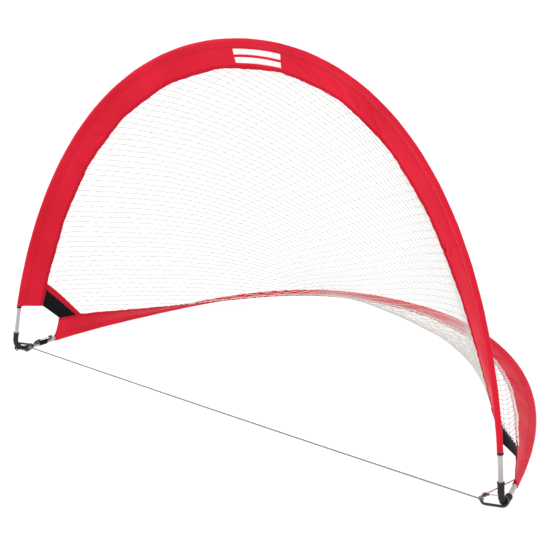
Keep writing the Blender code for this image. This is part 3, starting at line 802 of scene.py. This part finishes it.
def build_net():
    surface = NetSurface()
    end = surface.x[-1]
    shapes, knots = [], []
    for family in (1, -1):
        for index in range(-NET_LINES, NET_LINES + 1):
            x, y, on_knot = net_line(family, index, end)
            inside = np.abs(y) <= surface.half_depth(x) + NET_OVERLAP
            inside &= (x > -NET_PATCH_OVERLAP) & (x < end + NET_PATCH_OVERLAP)
            found = np.flatnonzero(inside)
            for run in np.split(found, np.flatnonzero(np.diff(found) > 1) + 1):
                if len(run) < 3:
                    continue
                shapes.append(sweep(surface.hang(x[run], y[run]), THREAD_R[family], sides=5))
                if family == 1:
                    knots.append(np.stack([x[run], y[run]], 1)[on_knot[run]])
    points, faces = join_shapes(shapes)
    net = add_mesh("net_threads", points, faces, MATERIALS["thread"])
    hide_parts("net")
    fold(net)

    places = np.concatenate(knots)
    centres = surface.hang(places[:, 0], places[:, 1])
    template, triangles = knot_template()
    points = (centres[:, None, :] + template[None] * KNOT_R).reshape(-1, 3)
    starts = len(template) * np.arange(len(centres))[:, None, None]
    faces = (np.array(triangles)[None] + starts).reshape(-1, 3)
    made = add_mesh("net_knots", points, faces.tolist(), MATERIALS["thread"])
    fold(made)
    build_lacing(surface)


def build_lacing(surface):
    """Slanted stitches that lace the net over the rear band and over the patches' outer edges."""
    shapes = []
    t = np.linspace(0, 1, 8)
    hop = NET_LIFT * np.minimum(1, np.minimum(t * 6, 0.45 + (1 - t) * 4))
    chance = random.Random(41)
    length = surface.rear.length
    for k in range(int(length / LACE_STEP)):
        u = (k + 0.5) * LACE_STEP / length + (chance.uniform(-0.002, 0.002) + LACE_SLANT * t) / length
        inset = -0.002 + (LACE_LENGTH + chance.uniform(-0.002, 0.003)) * t
        shapes.append(sweep(surface.rear.point(u, inset, hop), LACE_R, sides=6))
    for side in (-1, 1):
        for k in range(PATCH_LACES):
            across = (k + 0.6) / (PATCH_LACES + 0.5) + 0.035 * t + chance.uniform(-0.01, 0.01)
            stitch = patch_point(side, 1.21 - 0.26 * t, across, 0.4 * hop + 0.0006)
            shapes.append(sweep(stitch, LACE_R, sides=6))
    points, faces = join_shapes(shapes)
    lacing = add_mesh("net_lacing", points, faces, MATERIALS["lacing"])
    fold(lacing)


def knot_template():
    """An icosahedron, a little flattened, as a knot's lump."""
    g = (1 + sqrt(5)) / 2
    points = []
    for a in (-1, 1):
        for b in (-g, g):
            points += [(0, a, b), (a, b, 0), (b, 0, a)]
    points = unit(np.array(points, float))
    triangles = []
    for i in range(12):
        for j in range(i + 1, 12):
            for k in range(j + 1, 12):
                a, b, c = points[i], points[j], points[k]
                if max(np.linalg.norm(a - b), np.linalg.norm(b - c), np.linalg.norm(c - a)) < 1.1:
                    out = np.dot(np.cross(b - a, c - a), a) > 0
                    triangles.append((i, j, k) if out else (i, k, j))
    return points * np.array([1.0, 1.0, 0.8]), triangles


# ---- patches


def patch_point(side, share, across, lift=0.0):
    """A corner patch's point: share runs from its mouth edge to the net, across from the front
    band to the rear one. lift is towards the outside."""
    ends = []
    for cloth, depth in ((front_cloth, PATCH_FRONT), (rear_cloth, PATCH_REAR)):
        run = along(cloth.point(cloth.arch.places, PATCH_EDGE, 0.0))
        place = depth * share if side < 0 else run[-1] - depth * share
        ends.append(cloth.point(np.interp(place, run, cloth.arch.places), PATCH_EDGE, 0.0))
    point = ends[0] + (ends[1] - ends[0]) * across[..., None]
    outwards = np.array(PATCH_OUTWARDS) * (side, 1, 1)
    slack = 0.0035 * np.sin(pi * across) * (0.4 + 0.6 * np.sin(pi * share))
    return point + outwards * (lift + slack)[..., None]


def sewn_cloth(names, points, uv, mat, thickness):
    """A cut piece of cloth at a corner, in place of its CAD node, which is hidden."""
    piece = cloth_sheet(names[0], points, uv, MATERIALS[mat], thickness)
    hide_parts(names[1])
    fold(piece)


def build_patch(name, side):
    """A corner's black patch, and the binding under its net edge, narrower towards the rear band."""
    share, across = np.meshgrid(np.linspace(0, 1.17, 17), np.linspace(-0.03, 1.03, 33), indexing="ij")
    points = patch_point(side, share, across)
    uv = np.stack([share * 0.07, across * 0.14], -1)
    names = (name + "_patch_cloth", name + "_corner_patch")
    sewn_cloth(names, points, uv, "black_cloth", 0.0010)

    share, across = np.meshgrid(np.linspace(0, 1, 7), np.linspace(-0.03, 1.03, 33), indexing="ij")
    at_front, at_rear = BINDING_FRONT / PATCH_FRONT, BINDING_REAR / PATCH_REAR
    low = 1.0 - 0.03 * across
    high = 1 + at_front + (at_rear - at_front) * across
    high += 0.10 * np.sin(pi * across) * (1 - across)
    points = patch_point(side, low + (high - low) * share, across, lift=-0.0012)
    uv = np.stack([share * 0.014, across * 0.14], -1)
    names = (name + "_binding_cloth", name + "_patch_binding")
    sewn_cloth(names, points, uv, "binding", 0.0008)


# ---- poles and elbows


class Corner:
    """One elbow's centre line: a bend between the lines of the two bare pole ends."""

    def __init__(self, side):
        self.side = side
        self.point = Vector((side * MOUTH_WIDTH / 2, -FOOT_CENTRE_Y, POLE_Z))
        end = 0 if side < 0 else -1
        self.front = (Vector(front_arch.line[end]) - self.point).normalized()
        self.rear = (Vector(rear_arch.line[end]) - self.point).normalized()
        self.turn = pi - self.front.angle(self.rear)
        self.setback = ELBOW_BEND * tan(self.turn / 2)
        self.upward = (self.front - self.rear * self.front.dot(self.rear)).normalized()
        self.centre = self.point + self.rear * self.setback + self.upward * ELBOW_BEND
        self.run = 2 * ELBOW_SOCKET + ELBOW_BEND * self.turn

    def along_elbow(self, t):
        """The elbow's centre line at distance t from its rear mouth: point and direction."""
        bend = t - ELBOW_SOCKET
        if bend <= 0:
            start = self.point + self.rear * (self.setback + ELBOW_SOCKET)
            return start - self.rear * t, -self.rear
        if bend >= ELBOW_BEND * self.turn:
            past = bend - ELBOW_BEND * self.turn
            return self.point + self.front * (self.setback + past), self.front
        angle = bend / ELBOW_BEND
        spoke = -self.upward * cos(angle) - self.rear * sin(angle)
        direction = self.upward * sin(angle) - self.rear * cos(angle)
        return self.centre + spoke * ELBOW_BEND, direction


def build_elbow(name, corner):
    """A moulded rubber elbow with a rim round each socket and flex ribs round its bend."""
    run = corner.run
    half = [(ELBOW_SOCKET - 0.001, 0.0004), (ELBOW_SOCKET - 0.001, ELBOW_BORE_R), (0.0006, ELBOW_BORE_R)]
    half += [(0.0, ELBOW_BORE_R + 0.0007), (0.0, ELBOW_RIM_R - 0.0007), (0.0005, ELBOW_RIM_R - 0.0001)]
    half += [(0.0012, ELBOW_RIM_R), (0.0040, ELBOW_RIM_R), (0.0048, ELBOW_R + 0.0004)]
    half += [(ELBOW_RIM_TO, ELBOW_R)]
    body = []
    for t in np.linspace(ELBOW_RIM_TO + 0.002, run - ELBOW_RIM_TO - 0.002, 61):
        share = (t - run / 2) / (0.34 * run)
        rib = max(0.0, cos(share * pi * ELBOW_RIBS)) if abs(share) < 1 else 0.0
        body.append((float(t), ELBOW_R + 0.0009 * rib**3 - (0.0004 if abs(share) < 1 else 0)))
    rings = half + body + [(run - t, r) for t, r in reversed(half)]
    sides = 28
    side_axis = corner.rear.cross(corner.upward).normalized()
    verts = []
    for t, r in rings:
        centre, direction = corner.along_elbow(t)
        other = direction.cross(side_axis).normalized()
        for k in range(sides):
            angle = 2 * pi * k / sides
            p = centre + (side_axis * cos(angle) + other * sin(angle)) * r
            p.z = max(p.z, 0.0002)
            verts.append(p)
    elbow = add_mesh(name + "_rubber", verts, tube_faces(len(rings), sides), MATERIALS["rubber"])
    elbow.data.set_sharp_from_angle(angle=radians(55))
    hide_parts(name)
    fold(elbow, elbow_weights)


def build_pole(kind, arch, body):
    """A pole's smooth sheath from socket to socket, with its wall showing at both ends."""
    ends = []
    for corner in (left_corner, right_corner):
        direction = corner.front if kind == "front" else corner.rear
        ends.append(corner.point + direction * (corner.setback + 0.002))
    path = np.concatenate([[ends[0]], arch.line[4:-4:4], [ends[1]]])
    path = resample(path, np.linspace(0, along(path)[-1], POLE_RINGS))
    outer, faces = sweep(path, POLE_R, sides=POLE_SIDES, close=False)
    bore, bore_faces = sweep(path, POLE_R - POLE_WALL, sides=POLE_SIDES, close=False)
    total = len(outer)
    faces += [[i + total for i in face[::-1]] for face in bore_faces]
    last = total - POLE_SIDES
    for k in range(POLE_SIDES):
        n = (k + 1) % POLE_SIDES
        faces.append([k + total, n + total, n, k])
        faces.append([last + k, last + n, last + n + total, last + k + total])
    pole = add_mesh(kind + "_pole_sheath", np.concatenate([outer, bore]), faces, MATERIALS["pole"])
    pole.data.set_sharp_from_angle(angle=radians(50))
    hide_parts(kind + "_pole")
    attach(pole, body)


# ---- clips


def clip_frame(name, joint_name):
    """A clip's own axes, from its CAD body, its gate and its gate's joint: X along it from the
    hinge to the nose, Y towards the gate, Z through it."""
    joint = next(j for j in frame["joints"] if j["name"] == joint_name)
    body = np.array([v.co for v in frame["nodes"][name + "_body"].data.vertices], float)
    gate = np.array([v.co for v in frame["nodes"][name + "_gate"].data.vertices], float)
    z = -unit(np.array(joint["axis"], float))
    pin = np.array(joint["pos_m"], float)
    far = gate[np.argmax(np.linalg.norm(gate - pin, axis=1))] - pin
    x = far - (far @ z) * z
    y = np.cross(z, unit(x))
    spread = body @ y
    centred = body - np.outer(spread, y)
    tilt = np.linalg.svd(centred - centred.mean(0), full_matrices=False)[2][0]
    x = unit(tilt * np.sign(tilt @ x))
    y = np.cross(z, x)
    origin = np.zeros(3)
    for axis in (x, y, z):
        values = body @ axis
        origin += axis * (values.max() + values.min()) / 2
    rows = [(x[k], y[k], z[k], origin[k]) for k in range(3)]
    return Matrix([*rows, (0, 0, 0, 1)]), Vector(pin)


def on_bow(end, angle):
    """A point of the clip's outline, on the bow at its nose (end 1) or at its hinge (-1)."""
    return end * CLIP_REACH + CLIP_HALF_WIDTH * cos(angle), CLIP_HALF_WIDTH * sin(angle)


def clip_wire():
    """The clip body's line and radius, from the nose where the gate lands to the hinge."""
    line = [(x, CLIP_HALF_WIDTH, r) for x, r in CLIP_NOSE]
    for k in range(1, 16):
        angle = pi / 2 - pi * k / 16
        line.append((*on_bow(1, angle), CLIP_WIRE + 0.0003 * cos(angle) ** 2))
    line += [(x, -CLIP_HALF_WIDTH, CLIP_WIRE + 0.0002) for x in np.linspace(CLIP_REACH, -CLIP_REACH, 9)]
    for k in range(1, 16):
        angle = -pi / 2 - pi * k / 16
        line.append((*on_bow(-1, angle), CLIP_WIRE + 0.0004 * k / 16))
    line += [(-CLIP_REACH, CLIP_HALF_WIDTH, 0.0030), (-CLIP_REACH + 0.0004, CLIP_HALF_WIDTH, 0.0022)]
    return [(x, y, 0) for x, y, _ in line], [r for _, _, r in line]


def clip_piece(name, node_name, metal, body, matrix, shape, sharp=50):
    """One part of a clip, from a shape on the clip's own axes."""
    made = add_mesh(name, in_frame(matrix, shape[0]), shape[1], MATERIALS[metal])
    made.data.set_sharp_from_angle(angle=radians(sharp))
    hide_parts(node_name)
    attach(made, body)


def build_clip(name, joint_name, body, gate_body):
    """A clip's bent wire with its hinge plates, the gate's rivet, and the gate."""
    matrix, pin = clip_frame(name, joint_name)
    line, radii = clip_wire()
    shapes = [sweep(line, radii, sides=14)]
    x, y, _ = matrix.inverted() @ pin
    for low in (-0.0016 - PLATE, 0.0016):
        plate = [(0.0010, 0.0), (0.0040, 0.0), (0.0044, 0.0003), (0.0044, 0.0010)]
        plate += [(0.0040, PLATE), (0.0010, PLATE)]
        shapes.append(lathe(plate, 24, Matrix.Translation((x - 0.0004, y, low))))
    clip_piece(name + "_hook", name + "_body", "black_metal", body, matrix, join_shapes(shapes))

    head = [(0.0004, -0.0004), (0.0013, -0.0003), (0.0020, 0.0001), (0.0022, 0.0006), (0.0022, 0.0009)]
    shank = [(0.0007, 0.0009), (0.0007, 0.0069)]
    rivet = head + shank + [(r, 0.0078 - z) for r, z in reversed(head)]
    shape = lathe(rivet, 18, Matrix.Translation((x, y, -0.0039)))
    clip_piece(name + "_rivet", name + "_gate_pin", "steel", body, matrix, shape, 45)

    gate_line = [(x + step, y, 0) for step, _, _ in CLIP_GATE]
    shape = sweep(gate_line, [r for _, r, _ in CLIP_GATE], sides=14, flat=[f for _, _, f in CLIP_GATE])
    clip_piece(name + "_gate_bar", name + "_gate", "steel", gate_body, matrix, shape)
    return matrix


# ---- cords


def braided(points, radius, pitch):
    """A cord with the lay of its strands modelled as helical grooves."""
    line = np.asarray(points, float)
    total = along(line)[-1]
    line = resample(line, np.linspace(0, total, max(8, int(total / CORD_STEP))))
    verts, faces = sweep(line, radius, sides=CORD_SIDES)
    centres = np.repeat(line, CORD_SIDES, axis=0)
    run = np.repeat(along(line), CORD_SIDES)
    turn = np.tile(np.arange(CORD_SIDES) * 2 * pi / CORD_SIDES, len(line))
    one = np.cos(CORD_STRANDS * turn + 2 * pi * run / pitch)
    other = np.cos(CORD_STRANDS * turn - 2 * pi * run / pitch)
    scale = 1 + CORD_GROOVE * (np.maximum(one, other) - 1) / 2
    return centres + (verts - centres) * scale[:, None], faces


def cord_piece(name, node_name, path, radius, pitch, mat, slot_name):
    verts, faces = braided(path, radius, pitch)
    piece = add_mesh(name, verts, faces, MATERIALS[mat])
    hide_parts(node_name)
    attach(piece, "base")
    return piece


def build_hitch(name, node_name, matrix, local, bar, radius, mat, slot_name):
    """A cord's end tied round a clip's wire, whose direction there is bar: two turns."""
    axis = (matrix.to_3x3() @ Vector(bar)).normalized()
    centre = matrix @ Vector(local)
    first = axis.orthogonal().normalized()
    second = axis.cross(first)
    turns = []
    for k in range(2 * HITCH_STEPS + 1):
        angle = 2 * pi * k / HITCH_STEPS
        spoke = (first * cos(angle) + second * sin(angle)) * (HITCH_GAP + radius)
        turns.append(centre + spoke + axis * (2.1 * radius) * (k / HITCH_STEPS - 1))
    return centre, cord_piece(name, node_name, turns, radius, TIE_LAY, mat, slot_name)


def build_cord(name, node_name, path, radius, pitch, mat, slot_name, with_pieces):
    """A taut cord along a path."""
    cord = cord_piece(name, node_name, path, radius, pitch, mat, slot_name)
    tuple(path[0])
    float(along(np.array(path))[-1])
    [tuple(p) for p in path]
    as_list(with_pieces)


def build_ground_cord(left, right):
    """The taut cord across the mouth, from hitch to hitch."""
    ends, hitches = [], []
    for name, matrix in (("left", left), ("right", right)):
        names = (name + "_hitch", name + "_cord_loop")
        tip = (CLIP_HALF_LENGTH, 0, 0)
        at, hitch = build_hitch(*names, matrix, tip, (0, 1, 0), CORD_R, "cord", "grey_cord")
        along_clip = (matrix.to_3x3() @ Vector((1, 0, 0))).normalized()
        ends.append(at + along_clip * HITCH_PAST)
        hitches.append(hitch)
    path = []
    for k in range(29):
        share = k / 28
        point = ends[0].lerp(ends[1], share)
        point.z -= CORD_SAG * 4 * share * (1 - share)
        path.append(point)
    build_cord("ground_cord_line", "ground_cord", path, CORD_R, CORD_LAY, "cord", "grey_cord", hitches)


def build_tie_cord(right):
    """The rear sleeve's draw cord, tied to the right clip and drawn tight."""
    angle = TIE_ANGLE
    local = (*on_bow(1, angle), 0)
    bar = (-sin(angle), cos(angle), 0)
    start, hitch = build_hitch("tie_hitch", "tie_cord_loop", right, local, bar, TIE_R, "tie", "red_cloth")
    hem = Vector(rear_arch.point(np.array(rear_arch.length), 0.020, 0.0))
    towards = (hem - start).normalized()
    first, last = start + towards * HITCH_PAST, hem - towards * 0.0016
    path = [first.lerp(last, k / 15) for k in range(16)]
    tied = [frame["nodes"]["tie_cord_bead"], hitch]
    build_cord("tie_cord_line", "tie_cord", path, TIE_R, TIE_LAY, "tie", "red_cloth", tied)


def build_strap():
    """The webbing strap that holds the second clip along the rear pole, sewn shut between them."""
    joint = next(j for j in frame["joints"] if j["name"] == "left_upper_clip_swing")
    along_pole = Vector(joint["axis"]).normalized()
    up = Vector((0, 0, 1))
    inwards = along_pole.cross(up).normalized()
    centre = Vector(joint["pos_m"])
    pole_r, spine_r = POLE_R + STRAP_LIFT, CLIP_WIRE + STRAP_LIFT
    wrap = acos((pole_r - spine_r) / SPINE_OFFSET)
    section = []
    for k in range(33):
        angle = UPPER_CLIP_ANGLE + wrap + (2 * pi - 2 * wrap) * k / 32
        section.append((pole_r * cos(angle), pole_r * sin(angle)))
    spine = (SPINE_OFFSET * cos(UPPER_CLIP_ANGLE), SPINE_OFFSET * sin(UPPER_CLIP_ANGLE))
    for k in range(13):
        angle = UPPER_CLIP_ANGLE - wrap + 2 * wrap * k / 12
        section.append((spine[0] + spine_r * cos(angle), spine[1] + spine_r * sin(angle)))
    section.append(section[0])
    place = along(np.array([(a, b, 0) for a, b in section]))
    rows, uv = [], []
    for y in np.linspace(-STRAP_WIDTH / 2, STRAP_WIDTH / 2, 15):
        swell = 1.0 if abs(y) < STRAP_WIDTH / 2 - 0.003 else 1.03
        spot = centre + along_pole * y
        rows.append([spot + (inwards * a + up * b) * swell for a, b in section])
        uv.append([(v, y) for v in place])
    points = np.array([[tuple(p) for p in row] for row in rows])
    points[..., 2] = np.maximum(points[..., 2], 0.0008)
    strap = cloth_sheet("left_strap_webbing", points, np.array(uv), MATERIALS["webbing"], 0.0013)
    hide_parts("left_keeper_strap")
    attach(strap, "left_upper_clip")


# ---- the goal

MATERIALS = make_materials()
FOLD = next(j for j in frame["joints"] if j["name"] == "front_fold")["pos_m"]

front_side = (0.0, cos(FRONT_LEAN), -sin(FRONT_LEAN))
front_arch = Arch(front_curve, 2, FRONT_SLEEVE_Z, front_side, front_tilt)
rear_arch = Arch(rear_curve, 1, REAR_SLEEVE_Y, (0.0, 0.0, 1.0), rear_tilt)
front_creases = [(0.30, 0.05, 14, 30), (0.44, 0.03, 6, -20), (0.61, 0.03, 13, 24), (0.5, 0.28, 14, 35)]
front_cloth = Cloth(front_arch, 11, front_creases, smooth_at=front_arch.length / 2 + PRINT_SHIFT)
rear_creases = [(0.3, 0.1, 9, 30), (0.7, 0.1, 9, -30), (0.5, 0.28, 12, 20)]
rear_cloth = Cloth(rear_arch, 23, rear_creases, REAR_HEM_SKEW)
left_corner, right_corner = Corner(-1), Corner(1)

build_sleeve("front_sleeve_cloth", front_cloth, "front_sleeve")
build_sleeve("rear_sleeve_cloth", rear_cloth, "rear_sleeve")
build_tape("front_tape_cloth", front_cloth, "front_net_tape")
build_tape("rear_tape_cloth", rear_cloth, "rear_net_tape")
build_stitching("front_stitching", front_cloth)
build_stitching("rear_stitching", rear_cloth)
build_print(front_cloth)
build_net()
build_patch("left", -1)
build_patch("right", 1)
build_pole("front", front_arch, "front")
build_pole("rear", rear_arch, "base")
build_elbow("left_elbow", left_corner)
build_elbow("right_elbow", right_corner)
left_clip = build_clip("left_lower_clip", "left_lower_gate_swing", "base", "left_lower_gate")
right_clip = build_clip("right_clip", "right_gate_swing", "base", "right_gate")
build_clip("left_upper_clip", "left_upper_gate_swing", "left_upper_clip", "left_upper_gate")
build_ground_cord(left_clip, right_clip)
build_tie_cord(right_clip)
build_strap()

for name, mat in (
    ("front_rod", "rod"),
    ("rear_rod", "rod"),
    ("front_left_stop", "rubber"),
    ("front_right_stop", "rubber"),
    ("tie_cord_bead", "bead"),
):
    slots = frame["nodes"][name].data.materials
    slots.clear()
    slots.append(MATERIALS[mat])


# ---- stage


def area_light(name, location, target, size, power):
    data = bpy.data.lights.new(name, "AREA")
    data.size = size
    data.energy = power
    obj = bpy.data.objects.new(name, data)
    obj.location = location
    obj.rotation_euler = (Vector(target) - Vector(location)).to_track_quat("-Z", "Y").to_euler()
    bpy.context.scene.collection.objects.link(obj)


def build_stage():
    corners = [(x, y, -0.0006) for x, y in ((-30, -30), (30, -30), (30, 30), (-30, 30))]
    floor = add_mesh("floor", corners, [[0, 1, 2, 3]], MATERIALS["floor"], smooth=False)
    world = bpy.data.worlds.new("studio")
    world.use_nodes = True
    sky = world.node_tree.nodes["Background"].inputs
    sky["Color"].default_value = (1, 1, 1, 1)
    sky["Strength"].default_value = 1.08
    bpy.context.scene.world = world
    bpy.context.scene.view_settings.view_transform = "Standard"
    area_light("key", (2.6, -3.2, 3.4), (0, 0, 0.4), 1.6, 22)
    area_light("fill", (-3.2, -2.6, 2.6), (0, 0, 0.4), 2.6, 52)


def build_camera():
    data = bpy.data.cameras.new("camera")
    data.lens = 64.1
    data.sensor_width = 36.0
    cam = bpy.data.objects.new("camera", data)
    cam.location = (1.668, -2.074 - FOOT_CENTRE_Y, 1.311)
    target = Vector((0.006, 0.2936 - FOOT_CENTRE_Y, 0.3793))
    cam.rotation_euler = (target - cam.location).to_track_quat("-Z", "Y").to_euler()
    bpy.context.scene.collection.objects.link(cam)
    bpy.context.scene.camera = cam


build_stage()
build_camera()
